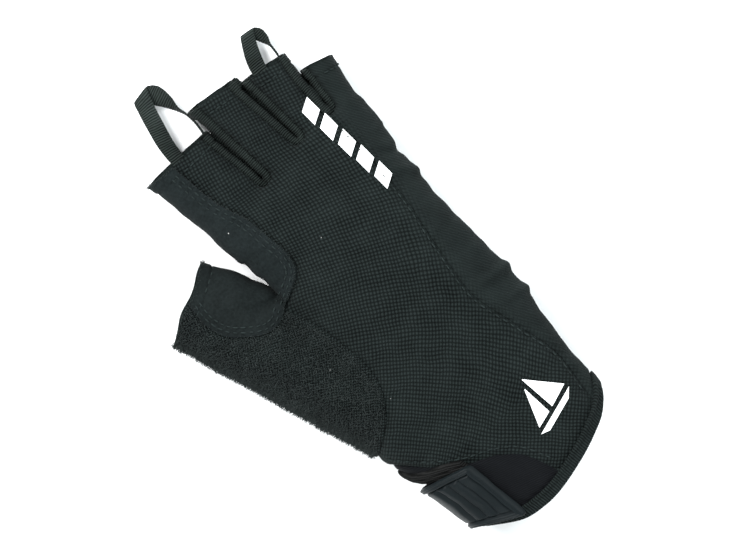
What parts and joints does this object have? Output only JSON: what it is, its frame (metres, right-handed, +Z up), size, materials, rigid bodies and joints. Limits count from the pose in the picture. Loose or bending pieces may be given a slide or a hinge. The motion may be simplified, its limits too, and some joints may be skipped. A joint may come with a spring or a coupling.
{
  "type": "sailing glove",
  "caption": "Fingerless right-hand sailing glove with a mesh back, padded suede palm, terry thumb, ribbed finger gussets, pull loops and a wrist strap with a rubber tab.",
  "frame": {"origin": "on the plane the palm pads rest on, under the middle of the palm", "axes": "+Y from the cuff towards the fingers, +X towards the little finger, +Z up out of the back of the hand"},
  "size_m": [0.1109, 0.2042, 0.0342],
  "materials": {
    "back_mesh": "raised knit mesh, matt",
    "side_lycra": "fine stretch knit",
    "suede": "synthetic suede, matt",
    "palm_suede": "synthetic suede, matt",
    "pad_suede": "thick synthetic suede with a grip print, matt",
    "terry": "terry pile",
    "wrist_stretch": "smooth stretch fabric",
    "rib_knit": "ribbed elastic knit",
    "binding": "ribbed elastic binding tape",
    "print_white": "printed film",
    "foam": "closed-cell foam",
    "hook_and_loop": "hook-and-loop tape",
    "strap_cloth": "woven strap",
    "tab_rubber": "moulded rubber, satin",
    "ribbon": "grosgrain ribbon"
  },
  "bodies": {
    "glove": {"back_panel": "back_mesh", "side_panel": "side_lycra", "index_side_panel": "suede", "palm_panel": "palm_suede", "thumb_ball_panel": "terry", "thumb_ball_palm": "palm_suede", "wrist_gusset": "wrist_stretch", "gusset_index_middle": "rib_knit", "gusset_middle_ring": "rib_knit", "gusset_ring_little": "rib_knit", "cuff_binding": "binding", "slit_binding": "binding", "print_bars": "print_white", "print_sail": "print_white", "palm_pad": "pad_suede", "palm_pad_foam": "foam", "knuckle_pad": "pad_suede", "knuckle_pad_foam": "foam", "heel_pad_outer": "pad_suede", "heel_pad_outer_foam": "foam", "heel_pad_inner": "pad_suede", "heel_pad_inner_foam": "foam", "loop_patch": "hook_and_loop", "strap_base": "strap_cloth"},
    "closure_strap": {"closure_strap": "strap_cloth", "hook_patch": "hook_and_loop", "pull_tab": "tab_rubber"},
    "thumb_sleeve": {"thumb_back": "terry", "thumb_patch": "suede", "thumb_palm": "palm_suede"},
    "loop_index": {"pull_loop_index": "ribbon"},
    "loop_ring": {"pull_loop_ring": "ribbon"}
  },
  "joints": [
    {"name": "strap_open", "type": "hinge", "parent": "glove", "child": "closure_strap", "pos_m": [-0.034, -0.08, 0.017], "axis": [0, -1, 0], "range_deg": [0, 120]},
    {"name": "thumb_swing", "type": "hinge", "parent": "glove", "child": "thumb_sleeve", "pos_m": [-0.03, 0.013, 0.012], "axis": [0, 0, 1], "range_deg": [-6, 14], "stiffness_Nm_per_rad": 0.02},
    {"name": "loop_index_lift", "type": "hinge", "parent": "glove", "child": "loop_index", "pos_m": [-0.0032, 0.0725, 0.00445], "axis": [1, 0, 0], "range_deg": [-6, 60], "stiffness_Nm_per_rad": 0.002},
    {"name": "loop_ring_lift", "type": "hinge", "parent": "glove", "child": "loop_ring", "pos_m": [0.0362, 0.074, 0.00445], "axis": [1, 0, 0], "range_deg": [-6, 60], "stiffness_Nm_per_rad": 0.002}
  ]
}
